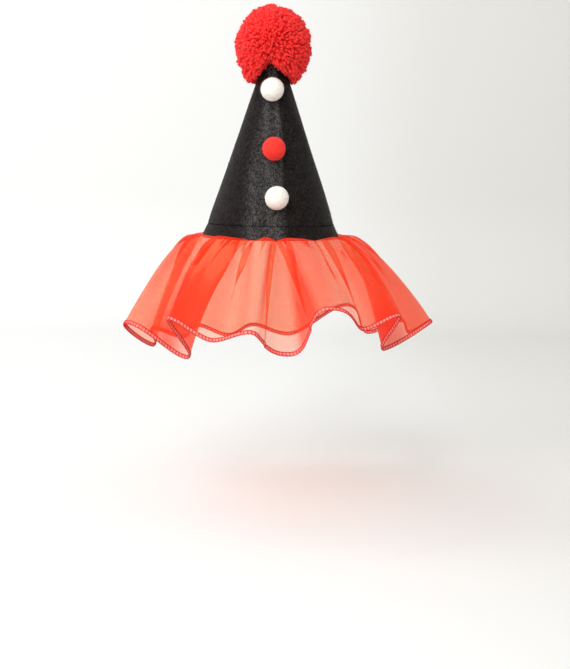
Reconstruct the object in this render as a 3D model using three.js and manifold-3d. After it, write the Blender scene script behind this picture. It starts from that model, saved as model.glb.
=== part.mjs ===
// A clown's cone hat: a rolled black felt cone with a gathered sheer ruffle under its rim, three felt balls
// down its front and a yarn pompom on its tip.
// Millimetres, +Z up along the cone. The origin is the middle of the cone's rim, where the hat sits.
// The front faces -Y, and a turn of 0 degrees is the front, growing towards +X.

import * as THREE from "three";
import { LoftGeometry } from "three/addons/geometries/LoftGeometry.js";
import { mergeVertices } from "three/addons/utils/BufferGeometryUtils.js";
import Module from "manifold-3d";

const wasm = await Module();
wasm.setup();

// The cone
const RIM_DIAMETER = 121;
const CONE_HEIGHT = 160; // to where the felt is cut off, inside the pompom
const TIP_DIAMETER = 12.6; // of the cut end
const FELT = 2;
const STITCH_HEIGHT = 11; // the line of stitches that holds the ruffle
const STITCH_PINCH = 0.6; // how far the stitches pull the felt in
const RIM_FLARE = 0.8; // how far the rim stands out below them
const LAP_WIDTH = 14; // how far the felt laps over itself at the back
const LAP_EASE = 26; // the stretch over which the upper layer comes down again
const STEP_TURN = 0.8; // the turn that each of the lap's steps takes
const LAP_SETTLE = 8; // the turn over which the ruffle comes in again past the lap's free edge
const CONE_COLUMNS = 44;

// The ruffle
const RUFFLE_DEPTH = 118; // from the rim to the hem, along the cloth
const CLOTH = 1;
const SEAM_GAP = 0.3; // the clearance between sewn pieces
const HEADING_HEIGHT = 12.5; // how far the gathered edge reaches up inside the cone
const HEADING_GATHER = 0.9; // how deep its small pleats are
const STAND_OUT = 3.6; // where a crest's puff has come clear of the rim
const PUFF_RISE = 2.2; // how far the puff rises beside the rim
const PUFF_DEPTH = 5; // how deep the creases between the puffs are at most
const COLUMNS_PER_STEP = 6; // columns of facets between a crest and a valley
const HEADING_ROWS = 3; // rows of points inside and under the rim
const FLOW_ROWS = 6; // rows of facets between the rim and the hem

// The hem's overlocked edge
const EDGE_WIDTH = 3.4;
const EDGE_THICKNESS = 1.9;

// The felt balls, glued on
const BALL_DIAMETER = 21;
const BALL_SINK = 0.18; // the share of a ball's radius that its flat takes off
const GLUE_GAP = 0.3;

// The pompom, tied on over the tip
const POMPOM_DIAMETER = 68;
const POMPOM_OVER_TIP = 8.5; // from the cone's tip up to its middle
const POMPOM_CORE = 0.78; // the core's share of its diameter
const POMPOM_STRETCH = 1.03; // it is a little taller than wide
const LOCKS = 52;
const LOCK_DIAMETER = 12.5; // at its outer end
const LOCK_TAPER = 0.5; // its root's share of that
const LOCK_UNEVEN = 0.04; // the locks differ in length by steps of this share
const TIE_GAP = 0.4;

// Each fold of the cloth: a crest that stands out and the valley that follows it round the hat.
// rim is the turn at which it leaves the rim and hem the turn at which it ends, both in degrees round the
// hat. droop is the hem's place in degrees below level, and bend says how widely the hem curves there, as
// a share of the ruffle's depth.
const FOLDS = [
  {
    crest: { rim: -78, hem: -53, droop: 38.5, bend: 0.25 },
    valley: { rim: -62, hem: -37.5, droop: 61.5, bend: 0.14 },
  },
  {
    crest: { rim: -57, hem: -31.5, droop: 32.5, bend: 0.075 },
    valley: { rim: -20, hem: -19, droop: 44, bend: 0.09 },
  },
  {
    crest: { rim: -7, hem: -6, droop: 38, bend: 0.09 },
    valley: { rim: 1.5, hem: 7, droop: 53, bend: 0.19 },
  },
  {
    crest: { rim: 14, hem: 17, droop: 25.5, bend: 0.19 },
    valley: { rim: 36, hem: 30.5, droop: 37, bend: 0.08 },
  },
  {
    crest: { rim: 56, hem: 42, droop: 30.5, bend: 0.09 },
    valley: { rim: 75, hem: 50, droop: 53.5, bend: 0.14 },
  },
  {
    crest: { rim: 92, hem: 76, droop: 39.5, bend: 0.2 },
    valley: { rim: 107, hem: 97, droop: 52, bend: 0.14 },
  },
  {
    crest: { rim: 121, hem: 113, droop: 47, bend: 0.12 },
    valley: { rim: 134, hem: 127, droop: 59, bend: 0.12 },
  },
  {
    crest: { rim: 151, hem: 147, droop: 42, bend: 0.16 },
    valley: { rim: 168, hem: 170, droop: 67, bend: 0.14 },
  },
  {
    crest: { rim: 186, hem: 188, droop: 59, bend: 0.09 },
    valley: { rim: 201, hem: 203, droop: 68, bend: 0.1 },
  },
  {
    crest: { rim: 216, hem: 217, droop: 58, bend: 0.1 },
    valley: { rim: 232, hem: 231, droop: 66, bend: 0.1 },
  },
  {
    crest: { rim: 249, hem: 245, droop: 56, bend: 0.1 },
    valley: { rim: 266, hem: 265, droop: 66, bend: 0.2 },
  },
];
const HEM_CHORD = 0.93; // the straight way from rim to hem, as a share of the ruffle's depth
const FLOW_REACH = 0.46; // how far out the cloth goes, as a share of its reach, before it bends down
const FLOW_DROP = 0.12; // how far it has dropped there, as a share of its drop

// The felt balls from the top down, with each one's height as a share of the cone's
const BALLS = [
  { name: "ball_top", height: 0.78, turn: 0.5, color: 0xf2efe4 },
  { name: "ball_middle", height: 0.463, turn: 3.5, color: 0xc4221c },
  { name: "ball_bottom", height: 0.206, turn: 6, color: 0xf2efe4 },
];

const RIM_RADIUS = RIM_DIAMETER / 2;
const TIP_RADIUS = TIP_DIAMETER / 2;
const CONE_LEAN = Math.atan((RIM_RADIUS - TIP_RADIUS) / CONE_HEIGHT);
const FELT_ACROSS = FELT / Math.cos(CONE_LEAN); // the felt's thickness measured level

// The lap in degrees on from the upper layer's free edge, which lies just past the middle of the back
const LAP_START = 360 - THREE.MathUtils.radToDeg(LAP_WIDTH / RIM_RADIUS);
const LAP_EASE_START = LAP_START - THREE.MathUtils.radToDeg(LAP_EASE / RIM_RADIUS);
const FREE_EDGE = 180 + (360 - LAP_START) / 2;

const POMPOM_HEIGHT = CONE_HEIGHT + POMPOM_OVER_TIP;
const POMPOM_FOOT = POMPOM_HEIGHT - (POMPOM_STRETCH * POMPOM_DIAMETER) / 2;
const CONE_ROWS = [0, STITCH_HEIGHT, 2 * STITCH_HEIGHT, POMPOM_FOOT, CONE_HEIGHT];

const feltBlack = new THREE.MeshStandardMaterial({ color: 0x1b1a1a, roughness: 0.95 });
const sheerRed = new THREE.MeshStandardMaterial({
  color: 0xe8372a,
  roughness: 0.6,
  transparent: true,
  opacity: 0.7,
  side: THREE.DoubleSide,
});
const threadRed = new THREE.MeshStandardMaterial({ color: 0xc81e2c, roughness: 0.7 });
const yarnRed = new THREE.MeshStandardMaterial({ color: 0xe0201c, roughness: 0.9 });

const WELD = 1e-4; // corners closer than this are one corner

// A point at a turn round the hat, a distance from its axis and a height.
function around(turn, radius, height) {
  const angle = THREE.MathUtils.degToRad(turn);
  return new THREE.Vector3(radius * Math.sin(angle), -radius * Math.cos(angle), height);
}

// A wall that runs all the way round the hat, lofted through its closed cross-sections.
function wallAround(sections) {
  return new LoftGeometry([...sections, sections[0]], { closed: true });
}

function solidOf(geometry) {
  geometry.deleteAttribute("normal").deleteAttribute("uv");
  const merged = mergeVertices(geometry, WELD);
  return new wasm.Manifold(
    new wasm.Mesh({
      numProp: 3,
      vertProperties: merged.attributes.position.array,
      triVerts: new Uint32Array(merged.index.array),
    }),
  );
}

function geometryOf(solid) {
  const { vertProperties, triVerts } = solid.getMesh();
  const geometry = new THREE.BufferGeometry();
  geometry.setAttribute("position", new THREE.BufferAttribute(vertProperties, 3));
  geometry.setIndex(new THREE.BufferAttribute(triVerts, 1));
  geometry.computeVertexNormals();
  return geometry;
}

function named(name, geometry, material) {
  const mesh = new THREE.Mesh(geometry, material);
  mesh.name = name;
  return mesh;
}

// The felt's outer face, with the waist at the stitches and the flare at the rim.
function coneRadius(height) {
  const straight = THREE.MathUtils.lerp(RIM_RADIUS, TIP_RADIUS, height / CONE_HEIGHT);
  if (height >= 2 * STITCH_HEIGHT) return straight;
  const fromStitch = Math.abs(height / STITCH_HEIGHT - 1);
  const pinch = STITCH_PINCH * (1 - fromStitch);
  const flare = height < STITCH_HEIGHT ? RIM_FLARE * fromStitch : 0;
  return straight - pinch + flare;
}

// How far the upper layer of felt is lifted by the lower one, at a turn on from its free edge.
function lapRise(turn) {
  return FELT_ACROSS * THREE.MathUtils.smoothstep(turn, LAP_EASE_START, LAP_START);
}

// The cone is one sheet of felt whose ends lap at the back: the upper layer ends in a step outside,
// and the lower one in a step inside.
function coneColumns() {
  const columns = [];
  for (let i = 0; i < CONE_COLUMNS; i += 1) {
    const turn = (i / CONE_COLUMNS) * (LAP_START - STEP_TURN);
    columns.push({ turn, outside: lapRise(turn), inside: lapRise(turn) });
  }
  columns.push({ turn: LAP_START - STEP_TURN, outside: FELT_ACROSS, inside: FELT_ACROSS });
  columns.push({ turn: LAP_START, outside: FELT_ACROSS, inside: 0 });
  columns.push({ turn: 360 - STEP_TURN, outside: FELT_ACROSS, inside: 0 });
  return columns;
}

function onCone(column, height, offset) {
  return around(FREE_EDGE + column.turn, coneRadius(height) + offset, height);
}

function feltCone() {
  return wallAround(
    coneColumns().map((column) => {
      const inner = CONE_ROWS.map((height) => onCone(column, height, column.inside - FELT_ACROSS));
      const outer = CONE_ROWS.map((height) => onCone(column, height, column.outside));
      return [...inner, ...outer.reverse()];
    }),
  );
}

// The cone's outside as one full solid, grown by a gap, for seating what is glued or tied on it.
function coneSeat(gap) {
  const heights = [...CONE_ROWS, CONE_HEIGHT + gap];
  const across = gap / Math.cos(CONE_LEAN);
  const rings = heights.map((height) =>
    coneColumns().map((column) => onCone(column, height, column.outside + across)),
  );
  return solidOf(new LoftGeometry(rings, { closed: true, capStart: true, capEnd: true }));
}

// A crest or valley with its point on the hem and the handle that the hem's bend follows there.
function hemKey({ rim, hem, droop, bend }) {
  const chord = HEM_CHORD * RUFFLE_DEPTH;
  const down = THREE.MathUtils.degToRad(droop);
  return {
    rim,
    point: around(hem, RIM_RADIUS + chord * Math.cos(down), -chord * Math.sin(down)),
    handle: around(hem + 90, bend * RUFFLE_DEPTH, 0),
  };
}

// The ruffle's columns: where each one ends at the hem, the turn at which it leaves the rim, and its
// share of a puff, from 1 on a crest to 0 in the crease of a valley.
function ruffleColumns() {
  const keys = FOLDS.flatMap((fold) => [fold.crest, fold.valley]).map(hemKey);
  return keys.flatMap((from, i) => {
    const to = keys[(i + 1) % keys.length];
    const rimStep = THREE.MathUtils.euclideanModulo(to.rim - from.rim, 360);
    const bend = new THREE.CubicBezierCurve3(
      from.point,
      from.point.clone().add(from.handle),
      to.point.clone().sub(to.handle),
      to.point,
    );
    return Array.from({ length: COLUMNS_PER_STEP }, (_, k) => {
      const along = k / COLUMNS_PER_STEP;
      const fromCrest = i % 2 === 0 ? along : 1 - along;
      return {
        hem: bend.getPoint(along),
        rimTurn: from.rim + rimStep * along,
        puff: Math.cos((fromCrest * Math.PI) / 2),
      };
    });
  });
}

// The felt's outer face at the rim as the ruffle meets it, which goes out smoothly round the lap.
function rimOutsideAt(turn) {
  const onwards = THREE.MathUtils.euclideanModulo(turn - FREE_EDGE, 360);
  const settle = FELT_ACROSS * (1 - THREE.MathUtils.smoothstep(onwards, 0, LAP_SETTLE));
  return coneRadius(0) + Math.max(lapRise(onwards), settle);
}

// One column of the cloth's middle, from the heading's top inside the cone, under the rim and down to the
// hem.
function columnMiddle({ hem, rimTurn, puff }) {
  const half = CLOTH / 2;
  const rimOutside = rimOutsideAt(rimTurn);
  const rimInside = coneRadius(0) - FELT_ACROSS - SEAM_GAP - half;
  const headingInside = coneRadius(HEADING_HEIGHT) - FELT_ACROSS - 2 * SEAM_GAP - half;
  const pleat = HEADING_GATHER * (1 - puff);
  const under = -SEAM_GAP - half;
  const standOut = (STAND_OUT * (1 + puff)) / 2;
  const start = around(rimTurn, rimOutside + standOut, under + PUFF_RISE * puff);
  const level = new THREE.Vector3(hem.x - start.x, hem.y - start.y, 0);
  const bend = start.clone().addScaledVector(level, FLOW_REACH);
  bend.z += FLOW_DROP * (hem.z - start.z);
  const flow = new THREE.QuadraticBezierCurve3(start, bend, hem);
  return [
    around(rimTurn, headingInside - pleat, HEADING_HEIGHT),
    around(rimTurn, rimInside - pleat, 2 * under),
    around(rimTurn, rimOutside + half + SEAM_GAP, 2 * under),
    ...flow.getPoints(FLOW_ROWS),
  ];
}

// The cloth's middle as a grid of points, [column][row], with the puffs pushed out along the cloth's
// face and the creases in. They are deepest a third of the way down and die away towards the hem.
function ruffleMiddle() {
  const columns = ruffleColumns();
  const middle = columns.map(columnMiddle);
  const faces = faceDirections(middle);
  return middle.map((column, i) =>
    column.map((point, row) => {
      const down = Math.max(0, row - HEADING_ROWS) / FLOW_ROWS;
      const fade = (down * (1 - down) ** 2) / ((1 / 3) * (2 / 3) ** 2);
      const push = PUFF_DEPTH * fade * (columns[i].puff - 0.5);
      return point.clone().addScaledVector(faces[i][row], push);
    }),
  );
}

// The outward direction of the face at each point of a grid that closes round the hat.
function faceDirections(grid) {
  const last = grid[0].length - 1;
  return grid.map((column, i) =>
    column.map((point, row) => {
      const next = grid[(i + 1) % grid.length][row];
      const before = grid[(i + grid.length - 1) % grid.length][row];
      const along = next.clone().sub(before);
      const down = column[Math.min(row + 1, last)].clone().sub(column[Math.max(row - 1, 0)]);
      return down.cross(along).normalize();
    }),
  );
}

function ruffle(middle) {
  const faces = faceDirections(middle);
  return wallAround(
    middle.map((column, i) => {
      const side = (out) => column.map((point, row) => point.clone().addScaledVector(faces[i][row], out));
      return [...side(-CLOTH / 2).reverse(), ...side(CLOTH / 2)];
    }),
  );
}

// The overlocked edge follows the cloth's last row, a seam's gap beyond it.
function ruffleEdge(middle) {
  const faces = faceDirections(middle);
  const corners = 5;
  return wallAround(
    middle.map((column, i) => {
      const end = column[column.length - 1];
      const onwards = end.clone().sub(column[column.length - 2]).normalize();
      const centre = end.clone().addScaledVector(onwards, SEAM_GAP + EDGE_WIDTH / 2);
      return Array.from({ length: corners }, (_, k) => {
        const angle = (2 * Math.PI * (k + 0.5)) / corners;
        return centre
          .clone()
          .addScaledVector(onwards, (EDGE_WIDTH / 2) * Math.sin(angle))
          .addScaledVector(faces[i][column.length - 1], (EDGE_THICKNESS / 2) * Math.cos(angle));
      });
    }),
  );
}

function feltBall(seat, { height, turn }) {
  const radius = BALL_DIAMETER / 2;
  const foot = height * CONE_HEIGHT;
  const out = radius * (1 - BALL_SINK);
  const centre = around(turn, coneRadius(foot) + out * Math.cos(CONE_LEAN), foot + out * Math.sin(CONE_LEAN));
  const ball = new THREE.IcosahedronGeometry(radius, 3).translate(centre.x, centre.y, centre.z);
  return geometryOf(solidOf(ball).subtract(seat));
}

// The pompom: locks of yarn spread evenly over a core, with a hollow underneath that fits over the tip.
function pompom(seat) {
  const radius = POMPOM_DIAMETER / 2;
  const coreRadius = POMPOM_CORE * radius;
  const goldenAngle = Math.PI * (3 - Math.sqrt(5));
  const pieces = [solidOf(new THREE.IcosahedronGeometry(coreRadius, 2))];
  for (let i = 0; i < LOCKS; i += 1) {
    const up = 1 - (2 * (i + 0.5)) / LOCKS;
    const level = Math.sqrt(1 - up * up);
    const turn = i * goldenAngle;
    const direction = new THREE.Vector3(level * Math.cos(turn), level * Math.sin(turn), up);
    const length = radius * (1 - LOCK_UNEVEN * (i % 3));
    const end = LOCK_DIAMETER / 2;
    const lock = new THREE.CylinderGeometry(end, LOCK_TAPER * end, length, 5);
    lock.translate(0, length / 2, 0);
    lock.applyQuaternion(new THREE.Quaternion().setFromUnitVectors(new THREE.Vector3(0, 1, 0), direction));
    pieces.push(solidOf(lock));
  }
  const ball = wasm.Manifold.union(pieces).scale([1, 1, POMPOM_STRETCH]).translate([0, 0, POMPOM_HEIGHT]);
  return geometryOf(ball.subtract(seat));
}

const hat = new THREE.Group();
const clothMiddle = ruffleMiddle();
hat.add(named("felt_cone", feltCone(), feltBlack));
hat.add(named("ruffle", ruffle(clothMiddle), sheerRed));
hat.add(named("ruffle_edge", ruffleEdge(clothMiddle), threadRed));
hat.add(named("pompom", pompom(coneSeat(TIE_GAP)), yarnRed));
for (const ball of BALLS) {
  const wool = new THREE.MeshStandardMaterial({ color: ball.color, roughness: 1 });
  hat.add(named(ball.name, feltBall(coneSeat(GLUE_GAP), ball), wool));
}

export default hat;
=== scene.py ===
import math

import bpy
import numpy as np
from mathutils import Euler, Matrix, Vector


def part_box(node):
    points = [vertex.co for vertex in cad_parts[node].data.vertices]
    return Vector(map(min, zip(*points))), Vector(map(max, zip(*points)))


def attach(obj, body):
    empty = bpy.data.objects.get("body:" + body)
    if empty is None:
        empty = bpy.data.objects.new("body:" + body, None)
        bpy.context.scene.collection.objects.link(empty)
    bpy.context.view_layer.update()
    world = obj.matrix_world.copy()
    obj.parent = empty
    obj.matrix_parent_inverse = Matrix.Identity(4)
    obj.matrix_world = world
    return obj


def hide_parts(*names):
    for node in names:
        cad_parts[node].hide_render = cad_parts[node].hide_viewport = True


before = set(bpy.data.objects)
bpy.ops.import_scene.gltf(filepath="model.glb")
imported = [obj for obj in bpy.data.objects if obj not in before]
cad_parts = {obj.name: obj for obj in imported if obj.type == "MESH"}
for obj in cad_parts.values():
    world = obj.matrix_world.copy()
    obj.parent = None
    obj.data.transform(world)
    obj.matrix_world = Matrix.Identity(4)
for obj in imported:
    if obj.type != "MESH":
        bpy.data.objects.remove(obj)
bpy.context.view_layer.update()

# Lengths below are in millimetres and turned into metres as a mesh is made. A turn is in degrees round
# the hat from its front, which faces -Y, towards +X.
MM = 0.001
GOLDEN_ANGLE = math.pi * (3 - math.sqrt(5))

# The felt cone
RIM_RADIUS = 60.5
TIP_RADIUS = 6.3
CONE_HEIGHT = 1000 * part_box("felt_cone")[1].z
CONE_LEAN = math.atan((RIM_RADIUS - TIP_RADIUS) / CONE_HEIGHT)
FELT = 2.0
FELT_ACROSS = FELT / math.cos(CONE_LEAN)
STITCH_HEIGHT = 11.0
STITCH_PINCH = 0.6
STITCHES = 124
RIM_FLARE = 0.8
GROOVE_DEPTH = 0.5
GROOVE_WIDTH = 0.8
FELT_WAVER = 0.22
FELT_RIPPLE = 0.1
LAP_WIDTH = 14.0
LAP_EASE = 26.0
LAP_SETTLE = 8.0
LAP_CLEARANCE = 0.04
LAP_START = 360 - math.degrees(LAP_WIDTH / RIM_RADIUS)
LAP_EASE_START = LAP_START - math.degrees(LAP_EASE / RIM_RADIUS)
FREE_EDGE = 180 + (360 - LAP_START) / 2
HIGHLIGHT_START = -36.0  # the band of painted highlight down the front, in turns
HIGHLIGHT_FULL = -12.0
HIGHLIGHT_EDGE = 11.0
FUZZ_FIBRES = 2600
FUZZ_LENGTH = 1.3

# The ruffle
RUFFLE_DEPTH = 118.0
HEADING_HEIGHT = 12.5
HEADING_GAP = 0.7
HEM_CHORD = 0.93
FLOW_REACH = 0.46
FLOW_DROP = 0.12
STAND_OUT = 3.6
PUFF_RISE = 2.8
PUFF_DEPTH = 5.0
COLUMNS_PER_STEP = 72
FLOW_ROWS = 54
THREAD_PITCH = 0.5
CLOTH_COVER = 0.4  # how much of the light a flat single layer stops
MOST_PACKED = 2.5  # the closest gathering that counts
EDGE_ON = (0.3, 0.9)  # the least and greatest facing that count

# Where the strip is gathered less or more closely than evenly: the turn, how widely and by how much
GATHERS = [
    (-10, 20, -0.34),
    (74, 44, 0.6),
]
RIGHT_FOLD = (50, 9)  # the turn at the hem of the fold at the right, and how widely it spreads
RIGHT_LOBE = (55, 6)

# The rows of the heading inside the cone, from the top down: how far inside the felt, and how high
HEADING = [
    (5.2, HEADING_HEIGHT),
    (2.6, 6.0),
    (0.3, 0.2),
    (-0.6, -0.9),
]

# Each fold of the cloth, a crest and the valley after it: the turn at which it leaves the rim, the turn at
# which it reaches the hem, how far below level it hangs there, and how widely the hem bends
FOLDS = [
    ((-78, -53, 38.5, 0.25), (-18, -37.5, 61.5, 0.14)),
    ((-42, -31.5, 32.5, 0.075), (-12, -19, 44, 0.09)),
    ((-3, -6, 38, 0.09), (4, 7, 53, 0.19)),
    ((14, 17, 25.5, 0.19), (36, 30.5, 37, 0.08)),
    ((56, 42, 30.5, 0.09), (75, 50, 53.5, 0.14)),
    ((92, 76, 39.5, 0.2), (107, 97, 52, 0.14)),
    ((121, 113, 47, 0.12), (134, 127, 59, 0.12)),
    ((151, 147, 42, 0.16), (168, 170, 67, 0.14)),
    ((186, 188, 59, 0.09), (201, 203, 68, 0.1)),
    ((216, 217, 58, 0.1), (232, 231, 66, 0.1)),
    ((249, 245, 56, 0.1), (266, 265, 66, 0.2)),
]
SEAM_FOLD = 8  # the fold at whose crest the strip's ends are joined, at the back

# The pleats that show in front: the turn at which each leaves the rim, the turn towards which it runs at
# the hem, its width along the cloth, how far it tucks under, how high it stands, the share of the
# ruffle's depth at which it has gone, and the side that its top layer comes from
PLEATS = [
    (-71, -47, 4, 3.6, 1.8, 0.8, 1),
    (-42, -31.5, 3.4, 3.0, 2.0, 0.8, 1),
    (-33, -29, 4, 3.2, 1.6, 0.4, 1),
    (-19, -20, 3, 2.7, 2.2, 0.3, -1),
    (-13, -15, 5, 3.4, 2.4, 0.9, 1),
    (2.5, 0.9, 2.6, 2.3, 2.0, 1.3, -1),
    (5, 12.6, 3.6, 3.2, 2.2, 1.25, 1),
    (22, 19, 3, 2.7, 1.8, 0.35, -1),
    (37, 23, 4, 3.6, 2.4, 1.0, 1),
    (47, 36, 3.4, 3.0, 1.8, 0.5, 1),
    (58, 42.5, 4.2, 4.0, 2.4, 1.1, 1),
    (74, 52, 4, 3.6, 1.8, 0.7, -1),
]

# Seeded pleats wherever there is room for them: how many are tried, the least and greatest share of the
# ruffle's depth that they reach, their size, and the room that each needs along the cloth
SEEDED_PLEATS = [
    (20, 0.35, 1.0, 1.0, 30),
    (96, 0.1, 0.34, 0.72, 8),
]
PLEAT_WIDTHS = (3.6, 6.0)
PLEAT_TUCKS = (0.55, 0.9)  # as shares of the width
PLEAT_LIFTS = (1.1, 2.0)
PLEAT_DRIFT = 8.0

# Low swells of the cloth between its pleats
SWELLS = 46
SWELL_WIDTHS = (6, 12)
SWELL_HEIGHTS = (0.7, 1.9)
SWELL_DRIFT = 14.0

# The hem's overlock
STITCH_PITCH = 3.0
HEM_WIDTH = 2.9
HEM_OVERLAP = 0.9  # how far the band reaches in over the cloth
HEM_BAND_HALF = 0.42  # half of the band's thickness
HEM_THREAD = 0.52

# The felt balls, from the top down
BALL_DIAMETER = 20.0
BALL_SINK = 0.18
BALL_DENTS = 22
BALL_FIBRES = 620

# Each ball's name, its height as a share of the cone's, its turn and its wool
BALLS = [
    ("ball_top", 0.782, -1.5, "white"),
    ("ball_middle", 0.463, 2.0, "red"),
    ("ball_bottom", 0.204, 4.6, "white"),
]

# The pompom
POMPOM_RADIUS = 33.8
POMPOM_HEIGHT = CONE_HEIGHT + 8.5
STRANDS = 2600
STRAND_WIDTH = 2.05
STRAND_ROOT = 10.0
STRAND_SAG = 1.0
STRAND_DRIFT = 2.2
RAGGED_ENDS = (-1.7, 0.6)
HANG_ANGLE = 34.0  # from straight down, where the yarn hangs longest round the cone
HANG_SPREAD = 15.0
CORE_DEPTH = 5.5
CORE_ROUGH = 0.8
PARTING_HEIGHT = 156.5  # where the yarn parts over the front of the cone
PARTING_SIDE = -6.0
PARTING_REACH = (-14, 24)
PARTING_SLOPES = (1.5, 0.75)

# The camera, from the rim's middle
CAMERA_DISTANCE = 1100.0
CAMERA_RISE = 3.0
CAMERA_PITCH = 7.6
CAMERA_ROLL = 0.83
CAMERA_LENS = 65.8
CAMERA_SHIFT = 0.0233

FLOOR_DEPTH = 232.0


def smoothstep(x, low, high):
    """0 below low, 1 above high and smooth between."""
    share = np.clip((x - low) / (high - low), 0, 1)
    return share * share * (3 - 2 * share)


def around(turn, radius, height):
    """Points at a turn round the hat, a distance from its axis and a height."""
    angle = np.radians(turn)
    return np.stack(np.broadcast_arrays(radius * np.sin(angle), -radius * np.cos(angle), height), axis=-1)


def unit(vectors):
    return vectors / np.maximum(np.linalg.norm(vectors, axis=-1, keepdims=True), 1e-9)


def wander(share, harmonics, seed):
    """A smooth wandering value round the hat, about -1 to 1, that meets itself."""
    random = np.random.default_rng(seed)
    phases = random.uniform(0, 2 * math.pi, harmonics)
    weights = random.uniform(0.5, 1, harmonics)
    total = sum(
        weight * np.sin(2 * math.pi * (k + 1) * share + phase)
        for k, (weight, phase) in enumerate(zip(weights, phases))
    )
    return total / math.sqrt(harmonics * 0.6)


# Modelling

def select_only(made):
    bpy.ops.object.select_all(action="DESELECT")
    made.select_set(True)
    bpy.context.view_layer.objects.active = made


def vertex_places(made):
    places = np.empty(3 * len(made.data.vertices))
    made.data.vertices.foreach_get("co", places)
    return places.reshape(-1, 3)


def move_vertices(made, points):
    """Moves the vertices to points in millimetres."""
    made.data.vertices.foreach_set("co", (np.asarray(points) * MM).ravel())
    made.data.update()


def flat_sheet(name, columns, rows):
    """A flat sheet to be rolled or gathered, with each vertex's column and row."""
    bpy.ops.object.select_all(action="DESELECT")
    bpy.ops.mesh.primitive_grid_add(x_subdivisions=columns, y_subdivisions=rows, size=1)
    made = bpy.context.object
    made.name = name
    share = vertex_places(made)[:, :2] + 0.5
    column = np.rint(share[:, 0] * columns).astype(int)
    row = np.rint(share[:, 1] * rows).astype(int)
    return made, column, row


def apply_modifier(made, kind, **settings):
    select_only(made)
    modifier = made.modifiers.new(kind.title(), kind)
    for name, value in settings.items():
        setattr(modifier, name, value)
    bpy.ops.object.modifier_apply(modifier=modifier.name)


def close_seam(made, face_out=False):
    """Joins the ends of a sheet that meet, and turns the faces of a closed one outwards."""
    select_only(made)
    bpy.ops.object.mode_set(mode="EDIT")
    bpy.ops.mesh.select_all(action="SELECT")
    bpy.ops.mesh.remove_doubles(threshold=1e-7)
    if face_out:
        bpy.ops.mesh.normals_make_consistent(inside=False)
    bpy.ops.object.mode_set(mode="OBJECT")


def point_values(made, name, values):
    layer = made.data.attributes.new(name, "FLOAT", "POINT")
    layer.data.foreach_set("value", np.asarray(values, dtype=np.float32))


def dress(made, material, slot, *nodes):
    """The piece is smooth, has this finish, belongs to the hat and stands for those CAD nodes."""
    made.data.polygons.foreach_set("use_smooth", [True] * len(made.data.polygons))
    made.data.materials.append(material)
    made.data.update()
    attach(made, "root")
    if nodes:
        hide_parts(*nodes)
    return made


def straight_thread(sides, steps, plies=0, relief=0.0, twist=0.0):
    """A straight length of thread up the Z axis, a metre long and wide, to be laid along many paths."""
    bpy.ops.object.select_all(action="DESELECT")
    bpy.ops.mesh.primitive_circle_add(vertices=sides, radius=0.5, fill_type="NGON")
    made = bpy.context.object
    bpy.ops.object.mode_set(mode="EDIT")
    for _ in range(steps):
        bpy.ops.mesh.extrude_region_move(TRANSFORM_OT_translate={"value": (0, 0, 1 / steps)})
    bpy.ops.mesh.select_all(action="SELECT")
    bpy.ops.mesh.normals_make_consistent(inside=False)
    bpy.ops.object.mode_set(mode="OBJECT")
    places = vertex_places(made)
    angle = np.arctan2(places[:, 1], places[:, 0]) - twist * places[:, 2]
    places[:, :2] *= (1 + relief * np.cos(plies * angle))[:, None]
    made.data.vertices.foreach_set("co", places.ravel())
    return made


def from_lowest(corners):
    """A face's corners from the lowest on, because those of an extruded face start anywhere."""
    start = corners.index(min(corners))
    return corners[start:] + corners[:start]


def lay_threads(name, thread, paths, widths):
    """Copies of a straight thread, one along each path. paths is (thread, point, xyz)."""
    places = vertex_places(thread)
    polygons = sorted(from_lowest(tuple(polygon.vertices)) for polygon in thread.data.polygons)
    bpy.data.objects.remove(thread)
    along = unit(np.gradient(paths, axis=1))
    level = np.abs(along[:, :1, 2:3]) < 0.8
    helper = np.where(level, [[[0.0, 0.0, 1.0]]], [[[1.0, 0.0, 0.0]]])
    side = unit(np.cross(along, np.broadcast_to(helper, along.shape)))
    other = np.cross(along, side)
    place = places[:, 2] * (paths.shape[1] - 1)
    low = np.minimum(place.astype(int), paths.shape[1] - 2)
    share = (place - low)[None, :, None]

    def between(values):
        return values[:, low] * (1 - share) + values[:, low + 1] * share

    width = between(widths[..., None])
    points = between(paths) + between(side) * width * places[None, :, :1]
    points += between(other) * width * places[None, :, 1:2]
    starts = range(0, len(paths) * len(places), len(places))
    faces = [tuple(corner + start for corner in polygon) for start in starts for polygon in polygons]
    mesh = bpy.data.meshes.new(name)
    mesh.from_pydata((points.reshape(-1, 3) * MM).tolist(), [], faces)
    made = bpy.data.objects.new(name, mesh)
    bpy.context.scene.collection.objects.link(made)
    return made


def ring_tube(name, line, across, up, half_width, half_height, sides):
    """A sheet rolled into a closed tube along a closed line."""
    made, column, row = flat_sheet(name, len(line), sides)
    angle = 2 * math.pi * (row % sides) / sides
    place = column % len(line)
    points = line[place] + across[place] * (half_width * np.sin(angle))[:, None]
    move_vertices(made, points + up[place] * (half_height * np.cos(angle))[:, None])
    close_seam(made, face_out=True)
    return made


def join(pieces):
    select_only(pieces[0])
    for piece in pieces[1:]:
        piece.select_set(True)
    bpy.ops.object.join()
    return pieces[0]


# Shader arithmetic

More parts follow.
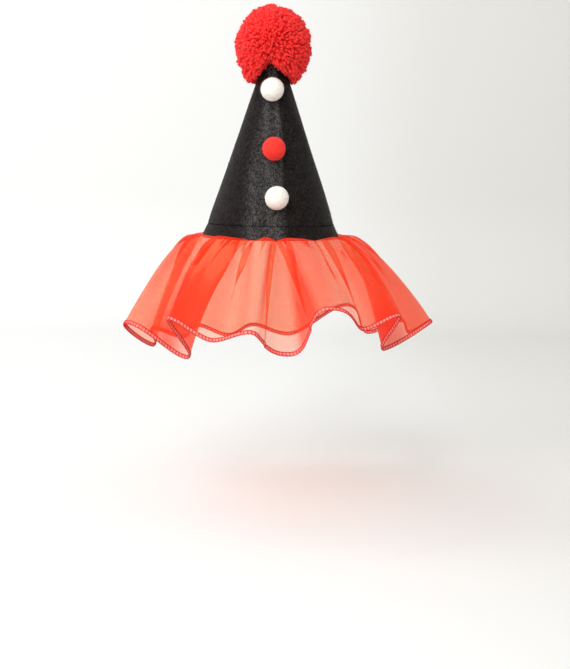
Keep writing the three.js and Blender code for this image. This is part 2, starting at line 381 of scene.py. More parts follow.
class Value:
    """A shader output that takes part in arithmetic, which adds Math nodes to its tree."""

    def __init__(self, paint, socket):
        self.paint = paint
        self.socket = socket

    def math(self, operation, *operands):
        made = self.paint.node("ShaderNodeMath", operation=operation)
        for socket, operand in zip(made.inputs, operands):
            self.paint.feed(socket, operand)
        return Value(self.paint, made.outputs[0])

    def __add__(self, other):
        return self.math("ADD", self, other)

    def __sub__(self, other):
        return self.math("SUBTRACT", self, other)

    def __rsub__(self, other):
        return self.math("SUBTRACT", other, self)

    def __mul__(self, other):
        return self.math("MULTIPLY", self, other)

    __radd__ = __add__
    __rmul__ = __mul__

    def sine(self):
        return self.math("SINE", self)

    def between(self, low, high):
        """0 below low, 1 above high and smooth between."""
        made = self.paint.node(
            "ShaderNodeMapRange",
            {"Value": self, "From Min": low, "From Max": high},
            interpolation_type="SMOOTHSTEP",
        )
        return Value(self.paint, made.outputs["Result"])


class Paint:
    """A node material that is being put together."""

    def __init__(self, name):
        self.material = bpy.data.materials.new(name)
        self.material.use_nodes = True
        self.tree = self.material.node_tree
        self.tree.nodes.clear()
        self.output = self.node("ShaderNodeOutputMaterial")
        self.coordinates = self.node("ShaderNodeTexCoord").outputs["Object"]

    def feed(self, socket, value):
        if isinstance(value, Value):
            self.tree.links.new(value.socket, socket)
        elif isinstance(value, bpy.types.NodeSocket):
            self.tree.links.new(value, socket)
        elif isinstance(value, bpy.types.Node):
            self.tree.links.new(value.outputs[0], socket)
        else:
            socket.default_value = value

    def node(self, kind, inputs=None, **settings):
        made = self.tree.nodes.new(kind)
        for name, value in settings.items():
            setattr(made, name, value)
        for name, value in (inputs or {}).items():
            self.feed(made.inputs[name], value)
        return made

    def attribute(self, name):
        return Value(self, self.node("ShaderNodeAttribute", attribute_name=name).outputs["Fac"])

    def noise(self, per_metre, detail=2.0, where=None):
        inputs = {"Vector": where or self.coordinates, "Scale": per_metre, "Detail": detail}
        return Value(self, self.node("ShaderNodeTexNoise", inputs).outputs["Fac"])

    def stretched(self, x, y, z):
        return self.node("ShaderNodeMapping", {"Vector": self.coordinates, "Scale": (x, y, z)}).outputs[0]

    def blend(self, share, first, second):
        made = self.node("ShaderNodeMix", data_type="RGBA")
        self.feed(made.inputs["Factor"], share)
        for socket, value in zip((s for s in made.inputs if s.type == "RGBA"), (first, second)):
            self.feed(socket, (*value, 1.0) if isinstance(value, tuple) else value)
        return next(s for s in made.outputs if s.type == "RGBA")

    def bump(self, height, distance, strength=1.0):
        inputs = {"Height": height, "Distance": distance, "Strength": strength}
        return self.node("ShaderNodeBump", inputs).outputs["Normal"]

    def principled(self, **inputs):
        names = {key.replace("_", " ").title().replace("Ior", "IOR"): value for key, value in inputs.items()}
        return self.node("ShaderNodeBsdfPrincipled", names)

    def done(self, shader):
        self.feed(self.output.inputs["Surface"], shader)
        return self.material


def felt_black():
    paint = Paint("black felt")
    mottle = paint.noise(240, 3)
    fibres = paint.noise(1050, 4)
    ribs = paint.noise(700, 2, paint.stretched(1.6, 1.6, 0.3))
    tone = (mottle * 0.2 + fibres * 0.5 + ribs * 0.3).between(0.41, 0.61)
    plain = paint.blend(tone, (0.0012, 0.0009, 0.0009), (0.026, 0.0205, 0.019))
    # painted highlight: the felt's colour is made lighter in the band down the front, in place of the lamp's
    # sheen there
    highlit = paint.blend(tone, (0.012, 0.0115, 0.0115), (0.1, 0.097, 0.094))
    shader = paint.principled(
        base_color=paint.blend(paint.attribute("painted_highlight"), plain, highlit),
        roughness=0.5,
        sheen_weight=0.02,
        sheen_roughness=0.4,
        sheen_tint=(0.9, 0.88, 0.86, 1.0),
        specular_ior_level=0.06,
        normal=paint.bump(fibres * 0.8 + ribs * 0.5 + mottle * 0.3, 0.0012, 1.0),
    )
    return paint.done(shader)


def organza():
    """Sheer red cloth: it lets part of the light straight through, and scatters the rest both ways."""
    paint = Paint("red organza")
    across = paint.attribute("across")
    down = paint.attribute("down")
    waves = 2 * math.pi / THREAD_PITCH
    threads = (across * waves).sine() * (down * waves).sine()
    drawn_out = paint.node("ShaderNodeCombineXYZ", {"X": across * 0.08, "Y": down * 0.9}).outputs[0]
    slubs = paint.noise(1, 3, drawn_out)
    cloth = paint.principled(
        base_color=paint.blend(slubs.between(0.3, 0.7), (0.92, 0.032, 0.009), (0.98, 0.046, 0.014)),
        roughness=0.5,
        sheen_weight=0.25,
        sheen_roughness=0.3,
        sheen_tint=(1.0, 0.5, 0.4, 1.0),
        specular_ior_level=0.3,
        normal=paint.bump(threads, 0.0001, 0.3),
    )
    through = paint.node("ShaderNodeBsdfTranslucent", {"Color": (1.0, 0.06, 0.022, 1.0)})
    lit = paint.node("ShaderNodeMixShader", {0: 0.45, 1: cloth, 2: through})
    clear = paint.node("ShaderNodeBsdfTransparent", {"Color": (1.0, 0.96, 0.79, 1.0)})
    cover = paint.attribute("cover") + threads * 0.03 + (slubs - 0.5) * 0.06
    return paint.done(paint.node("ShaderNodeMixShader", {0: cover, 1: clear, 2: lit}))


def thread_red():
    paint = Paint("crimson thread")
    tone = paint.noise(900, 2).between(0.3, 0.7)
    shader = paint.principled(
        base_color=paint.blend(tone, (0.58, 0.006, 0.016), (0.8, 0.014, 0.026)),
        roughness=0.6,
        specular_ior_level=0.2,
        sheen_weight=0.05,
        sheen_roughness=0.4,
        sheen_tint=(1.0, 0.6, 0.6, 1.0),
    )
    return paint.done(shader)


def edge_cloth():
    paint = Paint("bound cloth")
    tone = paint.noise(700, 2).between(0.3, 0.7)
    shader = paint.principled(
        base_color=paint.blend(tone, (0.9, 0.17, 0.12), (0.98, 0.36, 0.28)),
        roughness=0.7,
        sheen_weight=0.3,
        sheen_roughness=0.5,
        sheen_tint=(1.0, 0.7, 0.65, 1.0),
    )
    return paint.done(shader)


def thread_black():
    paint = Paint("black thread")
    tone = paint.noise(1200, 2).between(0.3, 0.7)
    shader = paint.principled(
        base_color=paint.blend(tone, (0.0005, 0.0005, 0.0005), (0.004, 0.004, 0.004)),
        roughness=0.8,
        specular_ior_level=0.05,
    )
    return paint.done(shader)


def yarn_red():
    paint = Paint("red yarn")
    fibres = paint.noise(1600, 3)
    tone = paint.attribute("strand") * 0.6 + fibres * 0.4
    shader = paint.principled(
        base_color=paint.blend(tone.between(0.15, 0.85), (0.95, 0.008, 0.005), (1.0, 0.026, 0.018)),
        roughness=0.8,
        sheen_weight=0.6,
        sheen_roughness=0.4,
        sheen_tint=(1.0, 0.35, 0.4, 1.0),
        normal=paint.bump(fibres, 0.0006, 0.8),
    )
    return paint.done(shader)


def wool(name, low, high, tint):
    paint = Paint(name)
    fibres = paint.noise(1300, 4)
    lumps = paint.noise(300, 2)
    shader = paint.principled(
        base_color=paint.blend((fibres * 0.7 + lumps * 0.3).between(0.35, 0.65), low, high),
        roughness=0.9,
        sheen_weight=0.15,
        sheen_roughness=0.5,
        sheen_tint=tint,
        normal=paint.bump(fibres + lumps * 0.6, 0.0005, 0.8),
    )
    return paint.done(shader)


def studio_white():
    paint = Paint("studio white")
    across = Value(paint, paint.node("ShaderNodeSeparateXYZ", {"Vector": paint.coordinates}).outputs["X"])
    shader = paint.principled(
        # painted shade: the white is a little darker towards the right, away from the key light
        base_color=paint.blend(across.between(0.02, 0.36), (0.81, 0.81, 0.795), (0.735, 0.728, 0.695)),
        roughness=0.85,
    )
    return paint.done(shader)


# The felt cone

def cone_radius(height):
    straight = RIM_RADIUS + (TIP_RADIUS - RIM_RADIUS) * height / CONE_HEIGHT
    from_stitch = np.abs(height / STITCH_HEIGHT - 1)
    pinch = STITCH_PINCH * np.clip(1 - from_stitch, 0, None)
    flare = RIM_FLARE * from_stitch * (height < STITCH_HEIGHT)
    return straight - pinch + flare


def lap_rise(onwards):
    """How far the felt is lifted by its own lower layer, at a turn on from its free edge."""
    return FELT_ACROSS * smoothstep(onwards, LAP_EASE_START, LAP_START)


def highlight_strength(turn, height):
    """How much painted highlight the felt gets: in a band down the front, with a sharp edge at its right."""
    band_edge = HIGHLIGHT_EDGE + 6 * height / CONE_HEIGHT + 1.5 * np.sin(0.09 * height)
    soft = smoothstep(turn, HIGHLIGHT_START + 3 * np.sin(0.06 * height + 1), HIGHLIGHT_FULL)
    streaks = 0.8 + 0.2 * np.sin(0.3 * turn + 0.05 * height)
    return soft * (1 - smoothstep(turn, band_edge - 2, band_edge + 3)) * streaks


def felt_cone(material):
    """A flat sheet of felt, rolled into a cone that laps over itself at the back, and thickened."""
    columns = 330
    rows = 92
    made, column, row = flat_sheet("cone_felt", columns, rows)
    onwards = LAP_START - 360 + column / columns * (720 - LAP_START)
    up = row / rows
    height = CONE_HEIGHT * (0.35 * up + 0.65 * up**2)
    waver = FELT_WAVER * wander(onwards / 360 + 0.002 * height, 7, 5)
    waver += FELT_RIPPLE * np.sin(0.11 * height + onwards / 70)
    waver *= smoothstep(np.minimum(onwards - LAP_START + 360, 360 - onwards), 16, 30)
    groove = GROOVE_DEPTH * np.exp(-(((height - STITCH_HEIGHT) / GROOVE_WIDTH) ** 2))
    lift = lap_rise(onwards) * (1 + LAP_CLEARANCE / FELT_ACROSS)
    radius = cone_radius(height) + lift + waver - groove
    move_vertices(made, around(FREE_EDGE + onwards, radius, height))
    # painted highlight band down the front, stored for the felt's colour
    point_values(made, "painted_highlight", highlight_strength((FREE_EDGE + onwards + 180) % 360 - 180, height))
    apply_modifier(made, "SOLIDIFY", thickness=FELT * MM, offset=-1)
    dress(made, material, "felt_cone", "felt_cone")
    select_only(made)
    bpy.ops.object.shade_smooth_by_angle(angle=math.radians(50))


def rim_stitches(material):
    """The line of stitches that holds the ruffle, each one sunk at its ends in the felt."""
    turn = np.arange(STITCHES) * 360 / STITCHES
    onwards = (turn - FREE_EDGE) % 360
    sink = 0.2
    radius = cone_radius(STITCH_HEIGHT) + lap_rise(onwards) - sink
    steps = np.linspace(-0.38, 0.38, 5)
    lift = np.array([-0.25, 0.1, 0.16, 0.1, -0.25])
    turns = turn[:, None] + steps[None] * 360 / STITCHES
    paths = around(turns, radius[:, None] + lift[None], STITCH_HEIGHT + 0.25 * steps[None])
    made = lay_threads("rim_stitches", straight_thread(6, 4), paths, np.full(paths.shape[:2], 0.5))
    return dress(made, material, "felt_cone")


def fibres_on(name, roots, ways, length, seed):
    """Fine loose fibres that stand and curl off a felted surface."""
    random = np.random.default_rng(seed)
    count = len(roots)
    curl = unit(np.cross(ways, random.normal(size=ways.shape)))
    reach = (length * random.uniform(0.4, 1.0, count))[:, None, None]
    share = np.linspace(0, 1, 4)[None, :, None]
    paths = roots[:, None] + reach * (ways[:, None] * share * (1 - 0.45 * share) + curl[:, None] * share**2)
    widths = np.broadcast_to(np.linspace(0.13, 0.07, 4), (count, 4))
    return lay_threads(name, straight_thread(3, 3), paths, widths)


def cone_fuzz(material):
    random = np.random.default_rng(41)
    height = CONE_HEIGHT * (1 - np.sqrt(random.uniform(0.02, 1, FUZZ_FIBRES)))
    turn = random.uniform(0, 360, FUZZ_FIBRES)
    radius = cone_radius(height) + lap_rise((turn - FREE_EDGE) % 360) - 0.1
    ways = around(turn, math.cos(CONE_LEAN), math.sin(CONE_LEAN)) + random.normal(0, 0.5, (FUZZ_FIBRES, 3))
    made = fibres_on("cone_fuzz", around(turn, radius, height), unit(ways), FUZZ_LENGTH, 42)
    return dress(made, material, "felt_cone")


# The ruffle

def rim_outside(turn):
    """The radius of the felt's outside at its rim."""
    onwards = (turn - FREE_EDGE) % 360
    settle = FELT_ACROSS * (1 - smoothstep(onwards, 0, LAP_SETTLE))
    return cone_radius(0.0) + np.maximum(lap_rise(onwards), settle)


def face_directions(grid):
    """The direction out of the cloth's face at each point of its grid."""
    along = np.roll(grid, -1, axis=0) - np.roll(grid, 1, axis=0)
    down = np.gradient(grid, axis=1)
    return unit(np.cross(down, along))


def turn_on(here, there):
    """The turn from one place to another, onwards, or back where a fold lies over its neighbour."""
    return (there - here + 90) % 360 - 90


def fold_keys():
    """The crests and valleys in order from the strip's seam: rim turn, hem turn, hem point and handle."""
    keys = []
    for rim, hem, droop, bend in [key for fold in FOLDS[SEAM_FOLD:] + FOLDS[:SEAM_FOLD] for key in fold]:
        down = math.radians(droop)
        chord = HEM_CHORD * RUFFLE_DEPTH
        point = around(hem, RIM_RADIUS + chord * math.cos(down), -chord * math.sin(down))
        keys.append((rim, hem, point, around(hem + 90, bend * RUFFLE_DEPTH, 0.0)))
    return keys


def cloth_columns():
    """Each column's end at the hem, its turns at rim and hem, its share of a puff and its place along
    the strip of cloth."""
    keys = fold_keys()
    t = np.arange(COLUMNS_PER_STEP) / COLUMNS_PER_STEP
    u = t[:, None]
    ends, rims, hems, puffs = [], [], [], []
    rim, hem = keys[0][:2]
    for number, (here, there) in enumerate(zip(keys, keys[1:] + keys[:1])):
        handles = 3 * (1 - u) ** 2 * u * (here[2] + here[3]) + 3 * (1 - u) * u**2 * (there[2] - there[3])
        ends.append((1 - u) ** 3 * here[2] + handles + u**3 * there[2])
        rims.append(rim + turn_on(here[0], there[0]) * t)
        hems.append(hem + turn_on(here[1], there[1]) * t)
        rim += turn_on(here[0], there[0])
        hem += turn_on(here[1], there[1])
        puffs.append(np.cos((t if number % 2 == 0 else 1 - t) * math.pi / 2))
    ends = np.concatenate(ends)
    strip = np.concatenate([[0], np.cumsum(np.linalg.norm(np.roll(ends, -1, axis=0) - ends, axis=1))])
    return ends, np.concatenate(rims), np.concatenate(hems), np.concatenate(puffs), strip


def place_on_strip(turn, turns, strip):
    """How far along the strip a turn is last reached, by the columns' turns at the rim or at the hem."""
    onwards = (turn - turns[0]) % 360
    return strip[np.nonzero(turns - turns[0] <= onwards)[0][-1]]


def loose_pleats(rims, hems, strip):
    """The pleats in front and seeded ones everywhere else, with their places along the strip."""
    pleats = []
    for rim, hem, *form in PLEATS:
        pleats.append((place_on_strip(rim, rims, strip), place_on_strip(hem, hems, strip), *form))
    random = np.random.default_rng(31)
    for count, low, high, size, room in SEEDED_PLEATS:
        for spot in (np.arange(count) + random.uniform(0.15, 0.85, count)) / count * strip[-1]:
            width = random.uniform(*PLEAT_WIDTHS) * size
            tuck = width * random.uniform(*PLEAT_TUCKS)
            lift = random.uniform(*PLEAT_LIFTS) * size
            reach = random.uniform(low, high)
            foot = spot + random.uniform(-PLEAT_DRIFT, PLEAT_DRIFT)
            side = random.choice((-1, 1))
            if min(abs(spot - other[0]) for other in pleats) > room:
                pleats.append((spot, foot, width, tuck, lift, reach, side))
    return pleats


def across_strip(strip, centre, width):
    """How far each column is from a line down the cloth, in widths, the short way round."""
    length = strip[-1]
    return ((strip[:-1, None] - centre[None] + length / 2) % length - length / 2) / width


def heading_rows(turn, outside, stand, swell):
    """The rows inside the cone and under its rim, from the top down."""
    inner = cone_radius(0.0) - FELT_ACROSS - HEADING_GAP - 0.5 * (1 - swell)
    level = np.zeros_like(turn)
    rows = [around(turn, inner - inside, level + height) for inside, height in HEADING]
    rows.append(around(turn, outside + 0.1, -1.1 + 0.2 * swell))
    rows.append(around(turn, outside + 0.45 * stand, -0.95 + 0.4 * PUFF_RISE * swell))
    return np.concatenate(rows, axis=1)


def smooth_cloth(hem, rim_turn, puff):
    """The cloth without its pleats, as a grid of points, with how far down each row is."""
    swell = puff[:, None]
    turn = rim_turn[:, None]
    outside = rim_outside(turn)
    stand = STAND_OUT * (1 + swell) / 2
    start = around(turn, outside + stand, -0.8 + PUFF_RISE * swell)
    fall = hem[:, None] - start
    bend = start + fall * [FLOW_REACH, FLOW_REACH, FLOW_DROP]
    down = np.linspace(0, 1, FLOW_ROWS)
    t = down[None, :, None]
    flow = (1 - t) ** 2 * start + 2 * (1 - t) * t * bend + t**2 * hem[:, None]
    heading = heading_rows(turn, outside, stand, swell)
    return np.concatenate([heading, flow], axis=1), np.concatenate([np.full(heading.shape[1], -0.01), down])


def pleat_moves(rims, hems, strip, deep):
    """How far the pleats push each point out of the cloth's face and slide it along."""
    push = np.zeros((len(rims), len(deep)))
    slide = np.zeros_like(push)
    for top, foot, width, tuck, lift, reach, side in loose_pleats(rims, hems, strip):
        x = across_strip(strip, top + (foot - top) * deep, width)
        wave = x * np.exp((1 - x * x) / 2) * (1 - smoothstep(deep, 0.35 * reach, reach))[None]
        slide -= tuck * wave
        push += side * lift * wave * smoothstep(deep, 0.0, 0.16)[None]
    random = np.random.default_rng(57)
    for spot in (np.arange(SWELLS) + random.uniform(0, 1, SWELLS)) / SWELLS * strip[-1]:
        centre = spot + random.uniform(-SWELL_DRIFT, SWELL_DRIFT) * deep
        x = across_strip(strip, centre, random.uniform(*SWELL_WIDTHS))
        height = random.uniform(*SWELL_HEIGHTS) * random.choice((-1, 1))
        start = random.uniform(0.0, 0.25)
        fade = smoothstep(deep, start - 0.1, start + 0.25) * (1 - smoothstep(deep, 0.55, 1.0))
        push += height * np.exp(-x * x / 2) * fade[None]
    return push, slide


def ruffle_surface():
    """The gathered cloth as a grid of points, its rows' depths, its cover and the strip's length."""
    hem, rims, hems, puff, strip = cloth_columns()
    middle, down = smooth_cloth(hem, rims, puff)
    deep = np.clip(down, 0, 1)
    push, slide = pleat_moves(rims, hems, strip, deep)
    fullest = 1 / 3
    fade = deep * (1 - deep) ** 2 / (fullest * (1 - fullest) ** 2)
    push += PUFF_DEPTH * fade[None] * (puff[:, None] - 0.5)
    under = down < 0
    push[:, under] = -0.5 * np.abs(push[:, under])
    faces = face_directions(middle)
    along = unit(np.roll(middle, -1, axis=0) - np.roll(middle, 1, axis=0))
    points = middle + faces * push[..., None] + along * slide[..., None]
    kept = np.linalg.norm((middle + faces * push[..., None])[..., :2], axis=-1)
    flat = np.linalg.norm(points[..., :2], axis=-1)
    points[:, under, :2] *= (kept / flat)[:, under, None]
    return points, down, cloth_cover(points, puff, strip, hems, down), strip[-1]


def evened(values, reach):
    """Values averaged over that many columns to either side, round the hat."""
    padded = np.concatenate([values[-reach:], values, values[:reach]])
    total = np.cumsum(np.concatenate([np.zeros_like(padded[:1]), padded]), axis=0)
    return (total[2 * reach + 1 :] - total[: -2 * reach - 1]) / (2 * reach + 1)


def near_turn(turn, centre, width):
    """1 at one turn round the hat, and less and less to either side."""
    apart = (turn - centre + 180) % 360 - 180
    return np.exp(-((apart / width) ** 2))


def gather_fullness(turn):
    """How closely the strip is gathered round the rim: less in front, and more at the right."""
    return sum((more * near_turn(turn, centre, width) for centre, width, more in GATHERS), start=1)


def layers_met(points, strip, outward):
    """How many flat layers the light seems to meet: more where the cloth is packed or seen edge on."""
    steps = np.linalg.norm(np.roll(points, -1, axis=0) - points, axis=-1)
    lengths = np.diff(strip)[:, None] * np.ones_like(steps)
    packed = evened(lengths, 8) / np.maximum(evened(steps, 8), 0.05)
    return np.clip(packed, 1, MOST_PACKED) ** 0.5 / np.clip(evened(np.abs(outward), 2), *EDGE_ON)


def cloth_cover(points, puff, strip, turn, down):
    """How much light the cloth stops. The loose layer inside a fold stops less, the more so towards its
    crest. The fold at the right is thin but for the lobe at its hem."""
    away = unit(unit(points * [1, 1, 0]) * 0.75 + [0, 0, 0.65])
    outward = np.sum(face_directions(points) * away, axis=-1)
    hem_share = smoothstep(down, 0.74, 0.92)
    right_fold = near_turn(turn, *RIGHT_FOLD)[:, None] * (1 - hem_share)
    right_lobe = near_turn(turn, *RIGHT_LOBE)[:, None] * hem_share
    layers = layers_met(points, strip, outward)
    layers *= gather_fullness(turn)[:, None] - 0.75 * right_fold + 1.6 * right_lobe
    tucked = 1 - smoothstep(evened(outward, 3), -0.6, 0.2)
    loose = tucked * np.minimum(0.35 + 0.6 * puff[:, None] + 0.5 * right_fold, 0.95)
    return 1 - (1 - CLOTH_COVER) ** (layers * (1 - loose * (1 - right_lobe)))


def ruffle(material, surface):
    """A flat strip of cloth, joined at its ends and gathered on to the rim."""
    points, down, cover, length = surface
    columns, rows = points.shape[:2]
    made, column, row = flat_sheet("ruffle_cloth", columns, rows - 1)
    row = rows - 1 - row
    move_vertices(made, points[column % columns, row])
    point_values(made, "across", column * length / columns)
    point_values(made, "down", down[row] * RUFFLE_DEPTH)
    point_values(made, "cover", cover[column % columns, row])
    close_seam(made)
    return dress(made, material, "ruffle", "ruffle")


# The hem

def even_places(line, pitch):
    """Places at an even pitch along a closed line, counted in its points."""
    closed = np.concatenate([line, line[:1]])
    length = np.concatenate([[0], np.cumsum(np.linalg.norm(np.diff(closed, axis=0), axis=1))])
    spots = np.linspace(0, length[-1], int(round(length[-1] / pitch)), endpoint=False)
    return np.interp(spots, length, np.arange(len(closed)))


def pick(values, places):
    """Values of a closed line at places between its points."""
    low = np.floor(places).astype(int)
    share = (places - low)[..., None]
    count = len(values)
    return values[low % count] * (1 - share) + values[(low + 1) % count] * share


def hem_line(points):
    """The hem's middle line, with the directions out of the cloth's face and on past its edge."""
    out = face_directions(points)[:, -1]
    onwards = unit(points[:, -1] - points[:, -3])
    return points[:, -1] + onwards * (HEM_WIDTH / 2 - HEM_OVERLAP), out, onwards


def hem_band(material, line, out, onwards):
    """The cloth's edge, rolled inside the stitches."""
    made = ring_tube("hem_band", line, onwards, out, HEM_WIDTH / 2, HEM_BAND_HALF, 8)
    return dress(made, material, "ruffle_edge", "ruffle_edge")


def hem_loops(material, line, out, onwards):
    """The thread that loops over the edge, two strands to a stitch on either face."""
    places = even_places(line, STITCH_PITCH)
    at, out, to = pick(line, places), unit(pick(out, places)), unit(pick(onwards, places))
    along = unit(np.cross(to, out))
    # One strand's way over a face, from the cloth to past its edge
    across = np.array([-0.55, -0.5, -0.1, 0.35, 0.56]) * HEM_WIDTH
    height = np.array([-0.1, 0.5, 0.72, 0.62, 0.1]) * 0.8
    loops = []
    for face in (1, -1):
        for lean in (0.28, -0.28):
            slide = lean * STITCH_PITCH * np.linspace(-1, 1, len(across))
            path = at[:, None] + to[:, None] * across[:, None] + out[:, None] * (face * height)[:, None]
            loops.append(path + along[:, None] * slide[:, None])
    loops = np.concatenate(loops)
    made = lay_threads("hem_loops", straight_thread(5, 4), loops, np.full(loops.shape[:2], HEM_THREAD))
    return dress(made, material, "ruffle_edge")


def hem_chains(material, line, out, onwards):
    """The chains of thread that run along the loops' ends."""
    places = even_places(line, STITCH_PITCH / 4)
    at, out, to = pick(line, places), unit(pick(out, places)), unit(pick(onwards, places))
    wobble = 0.22 * np.sin(np.arange(len(places)) * math.pi / 2)
    chains = []
    for offset, height in ((-0.52, 0.46), (-0.52, -0.46), (0.56, 0.0)):
        path = at + to * (offset * HEM_WIDTH + wobble)[:, None] + out * height
        chains.append(ring_tube("hem_chains", path, to, out, HEM_THREAD / 2, HEM_THREAD / 2, 6))
    return dress(join(chains), material, "ruffle_edge")


# The felt balls

def felt_ball(name, height, turn, material, seed):
    """A ball of felted wool, a little uneven, glued with a flat to the cone."""
    radius = BALL_DIAMETER / 2
    foot = height * CONE_HEIGHT
    out = radius * (1 - BALL_SINK)
    centre = around(turn, cone_radius(foot) + out * math.cos(CONE_LEAN), foot + out * math.sin(CONE_LEAN))
    bpy.ops.object.select_all(action="DESELECT")
    bpy.ops.mesh.primitive_ico_sphere_add(subdivisions=6, radius=radius * MM)
    made = bpy.context.object
    made.name = name + "_wool"
    felted = bpy.data.textures.new("felted " + name, "CLOUDS")
    felted.noise_scale = 0.0016
    felted.noise_depth = 3
    apply_modifier(made, "DISPLACE", texture=felted, strength=0.7 * MM, mid_level=0.5)
    places = vertex_places(made) / MM
    ways = unit(places)
    random = np.random.default_rng(seed)
    for _ in range(BALL_DENTS):
        way = unit(random.normal(size=3))
        dent = random.uniform(-0.22, 0.18) * np.exp(-((1 - ways @ way) / random.uniform(0.05, 0.3)))
        places += ways * dent[:, None]
    places += centre
    reach = np.linalg.norm(places[:, :2], axis=1)
    seat = cone_radius(places[:, 2]) + 0.3
    places[:, :2] *= (np.maximum(reach, seat) / reach)[:, None]
    move_vertices(made, places)
    dress(made, material, name, name)
    return centre


def ball_fuzz(name, centre, material, seed):
    random = np.random.default_rng(seed)
    ways = unit(random.normal(size=(BALL_FIBRES, 3)))
    away = unit(centre * [1, 1, 0]) * math.cos(CONE_LEAN) + [0, 0, math.sin(CONE_LEAN)]
    ways = ways[ways @ away > -0.55]
    roots = centre + ways * (BALL_DIAMETER / 2 - 0.25)
    made = fibres_on(name + "_fuzz", roots, ways, 1.5, seed + 1)
    return dress(made, material, name)


# The pompom

def strand_ways(random):
    index = np.arange(STRANDS)
    angle = index * GOLDEN_ANGLE
    up = 1 - 2 * (index + 0.5) / STRANDS
    level = np.sqrt(1 - up**2)
    ways = np.stack([level * np.cos(angle), level * np.sin(angle), up], axis=-1)
    return unit(ways + random.normal(0, 0.04, ways.shape))


def yarn_reach(ways):
    """How far the yarn reaches from the pompom's middle: even, but longer where it hangs round the cone,
    and short over the parting in front."""
    from_below = np.degrees(np.arccos(np.clip(-ways[:, 2], -1, 1)))
    hang = np.exp(-(((from_below - HANG_ANGLE) / HANG_SPREAD) ** 2))
    lobes = 0.025 * np.sin(3.1 * ways[:, 0] + 2 * ways[:, 2] + 1)
    tufts = 0.022 * np.sin(11 * ways[:, 0] + 3 * ways[:, 1]) * np.sin(10 * ways[:, 2] + 4 * ways[:, 1] + 1)
    swell = 0.05 * np.exp(-((ways[:, 0] + 0.85) ** 2 + (ways[:, 2] + 0.4) ** 2) / 0.12)
    reach = POMPOM_RADIUS * (1 + lobes + tufts + swell + (0.14 - 0.06 * ways[:, 0]) * hang)
    ends = ways * reach[:, None]
    aside = ends[:, 0] - PARTING_SIDE
    lowest = PARTING_HEIGHT - np.where(aside < 0, *PARTING_SLOPES) * np.abs(aside) - POMPOM_HEIGHT
    in_front = (ways[:, 1] < 0.1) & (aside > PARTING_REACH[0]) & (aside < PARTING_REACH[1])
    cut_short = np.clip(lowest / np.minimum(ends[:, 2], -1e-6), 0.3, 1)
    return np.where(in_front & (ends[:, 2] < lowest), reach * cut_short, reach)


def clear_of_cone(paths, gap):
    """Pushes the yarn out to where it lies on the cone."""
    clear = cone_radius(np.minimum(paths[..., 2], CONE_HEIGHT)) + gap
    clear = np.where(paths[..., 2] < CONE_HEIGHT + 1, clear, 0)
    flat = np.linalg.norm(paths[..., :2], axis=-1)
    paths[..., :2] *= (np.maximum(flat, clear) / np.maximum(flat, 1e-6))[..., None]
    return paths


def pompom(material):
    """Lengths of yarn that spread from the middle and hang round the cone's tip."""
    random = np.random.default_rng(7)
    ways = strand_ways(random)
    lengths = yarn_reach(ways) + random.uniform(*RAGGED_ENDS, STRANDS)
    steps = 6
    share = np.linspace(0, 1, steps)
    reach = STRAND_ROOT + (lengths[:, None] - STRAND_ROOT) * share[None]
    aside = unit(np.cross(ways, random.normal(size=ways.shape)))
    drift = aside * random.uniform(0, STRAND_DRIFT, STRANDS)[:, None]
    paths = ways[:, None] * reach[..., None] + drift[:, None] * (share**2)[None, :, None]
    paths[..., 2] += POMPOM_HEIGHT - STRAND_SAG * share**2
    paths = clear_of_cone(paths, STRAND_WIDTH / 2 + 0.3)
    thickness = STRAND_WIDTH * random.uniform(0.85, 1.15, STRANDS)
    widths = thickness[:, None] * np.linspace(0.8, 1.15, steps)[None]
    widths[:, -1] *= 0.8
    thread = straight_thread(6, 5, plies=2, relief=0.12, twist=5.0)
    per_strand = len(thread.data.vertices)
    made = lay_threads("pompom_yarn", thread, paths, widths)
    point_values(made, "strand", np.repeat(random.uniform(0, 1, STRANDS), per_strand))
    dress(made, material, "pompom", "pompom")
    return paths[:, -1], unit(paths[:, -1] - paths[:, -2])


def pompom_core(material):
    """The close yarn inside, as a rough ball that fills the gaps between the outer lengths."""
    bpy.ops.object.select_all(action="DESELECT")
    bpy.ops.mesh.primitive_ico_sphere_add(subdivisions=6, radius=1)
    made = bpy.context.object
    made.name = "pompom_core"
    ways = vertex_places(made)
    rough = np.random.default_rng(11).uniform(-CORE_ROUGH, CORE_ROUGH, len(ways))
    places = ways * (yarn_reach(ways) - CORE_DEPTH + rough)[:, None]
    places[:, 2] += POMPOM_HEIGHT
    move_vertices(made, clear_of_cone(places, 0.2))
    point_values(made, "strand", np.full(len(ways), 0.3))
    return dress(made, material, "pompom")


def pompom_fuzz(material, ends, ways):
    """The yarn's ends come apart into fine fibres."""
    random = np.random.default_rng(8)
    roots = np.repeat(ends, 3, axis=0) + random.normal(0, 0.5, (3 * len(ends), 3))
    spread = unit(np.repeat(ways, 3, axis=0) + random.normal(0, 0.55, (3 * len(ends), 3)))
    made = fibres_on("pompom_fuzz", roots - spread * 0.5, spread, 2.2, 9)
    point_values(made, "strand", np.full(len(made.data.vertices), 0.7))
    return dress(made, material, "pompom")


# The studio

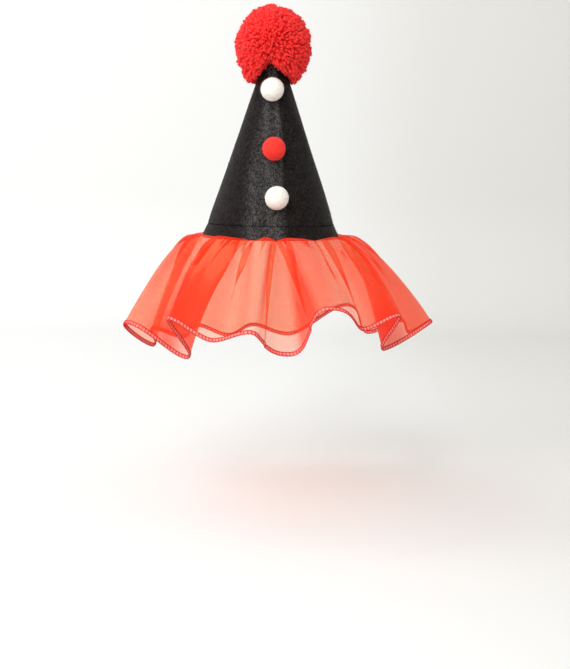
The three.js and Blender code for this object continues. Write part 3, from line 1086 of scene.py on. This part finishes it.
def studio(material):
    """A pale sweep: a floor that bends up into a wall, with painted shade that makes it a little darker at
    the right.
    """
    width = 7
    length = 4.1
    bend = 0.25
    back = 1.1
    wall = 3
    depth = -FLOOR_DEPTH * MM
    middle = (0, back - length / 2, depth)
    bpy.ops.object.select_all(action="DESELECT")
    bpy.ops.mesh.primitive_plane_add(size=1, location=middle)
    made = bpy.context.object
    made.name = "studio_floor"
    bpy.ops.transform.resize(value=(width, length, 1), center_override=middle)
    bpy.ops.object.transform_apply(location=True, rotation=True, scale=True)
    bpy.ops.object.mode_set(mode="EDIT")
    bpy.ops.mesh.select_all(action="DESELECT")
    bpy.ops.object.mode_set(mode="OBJECT")
    for edge in made.data.edges:
        edge.select = all(made.data.vertices[corner].co.y > back - 0.01 for corner in edge.vertices)
    bpy.ops.object.mode_set(mode="EDIT")
    bpy.ops.mesh.select_mode(type="EDGE")
    bpy.ops.mesh.spin(steps=16, angle=-math.pi / 2, center=(0, back, depth + bend), axis=(1, 0, 0))
    bpy.ops.mesh.extrude_region_move(TRANSFORM_OT_translate={"value": (0, 0, wall)})
    bpy.ops.object.mode_set(mode="OBJECT")
    made.data.polygons.foreach_set("use_smooth", [True] * len(made.data.polygons))
    made.data.materials.append(material)


def area_light(name, place, target, width, height, power, color):
    light = bpy.data.lights.new(name, "AREA")
    light.shape = "RECTANGLE"
    light.size = width
    light.size_y = height
    light.energy = power
    light.color = color
    made = bpy.data.objects.new(name, light)
    made.location = place
    made.rotation_euler = (Vector(target) - Vector(place)).to_track_quat("-Z", "Y").to_euler()
    bpy.context.scene.collection.objects.link(made)


def lighting():
    area_light("key", (-1.0, -1.3, 1.1), (0, 0, 0), 1.2, 1.2, 19, (1.0, 0.99, 0.97))
    area_light("front", (-0.32, -1.6, 1.15), (0, 0, 0.05), 0.35, 0.8, 10, (1.0, 1.0, 1.0))
    area_light("fill", (1.4, -0.7, 0.6), (0, 0, 0), 1.0, 1.4, 1.5, (1.0, 0.99, 0.98))
    area_light("back wall", (-1.1, 0.4, 1.5), (-0.7, 1.3, 0.1), 1.2, 0.8, 12, (1.0, 1.0, 1.0))
    world = bpy.data.worlds.new("studio")
    world.use_nodes = True
    background = world.node_tree.nodes["Background"]
    background.inputs["Color"].default_value = (0.97, 0.98, 1.0, 1.0)
    background.inputs["Strength"].default_value = 0.66
    bpy.context.scene.world = world


def camera():
    lens = bpy.data.cameras.new("camera")
    lens.lens = CAMERA_LENS
    lens.sensor_width = 36
    lens.shift_x = CAMERA_SHIFT
    lens.clip_start = 0.05
    lens.clip_end = 20
    made = bpy.data.objects.new("camera", lens)
    rise = math.radians(CAMERA_RISE)
    reach = CAMERA_DISTANCE * MM
    made.location = (0, -reach * math.cos(rise), reach * math.sin(rise))
    look = Euler((math.radians(90 - CAMERA_PITCH), 0, 0)).to_matrix()
    roll = Euler((0, 0, math.radians(CAMERA_ROLL))).to_matrix()
    made.rotation_euler = (look @ roll).to_euler()
    bpy.context.scene.collection.objects.link(made)
    bpy.context.scene.camera = made


bpy.context.scene.view_settings.view_transform = "Standard"
black = felt_black()
felt_cone(black)
cone_fuzz(black)
rim_stitches(thread_black())
surface = ruffle_surface()
cloth = ruffle(organza(), surface)
edge = hem_line(surface[0])
crimson = thread_red()
hem_pieces = [hem_band(edge_cloth(), *edge), hem_loops(crimson, *edge), hem_chains(crimson, *edge)]
surface[3] * MM
wools = {
    "white": wool("white wool", (0.78, 0.75, 0.66), (0.93, 0.92, 0.86), (1.0, 1.0, 0.95, 1.0)),
    "red": wool("red wool", (0.78, 0.018, 0.01), (0.96, 0.036, 0.02), (1.0, 0.4, 0.35, 1.0)),
}
for number, (node, height, turn, color) in enumerate(BALLS):
    centre = felt_ball(node, height, turn, wools[color], 100 + number)
    ball_fuzz(node, centre, wools[color], 200 + number)
yarn = yarn_red()
pompom_fuzz(yarn, *pompom(yarn))
pompom_core(yarn)
studio(studio_white())
lighting()
camera()
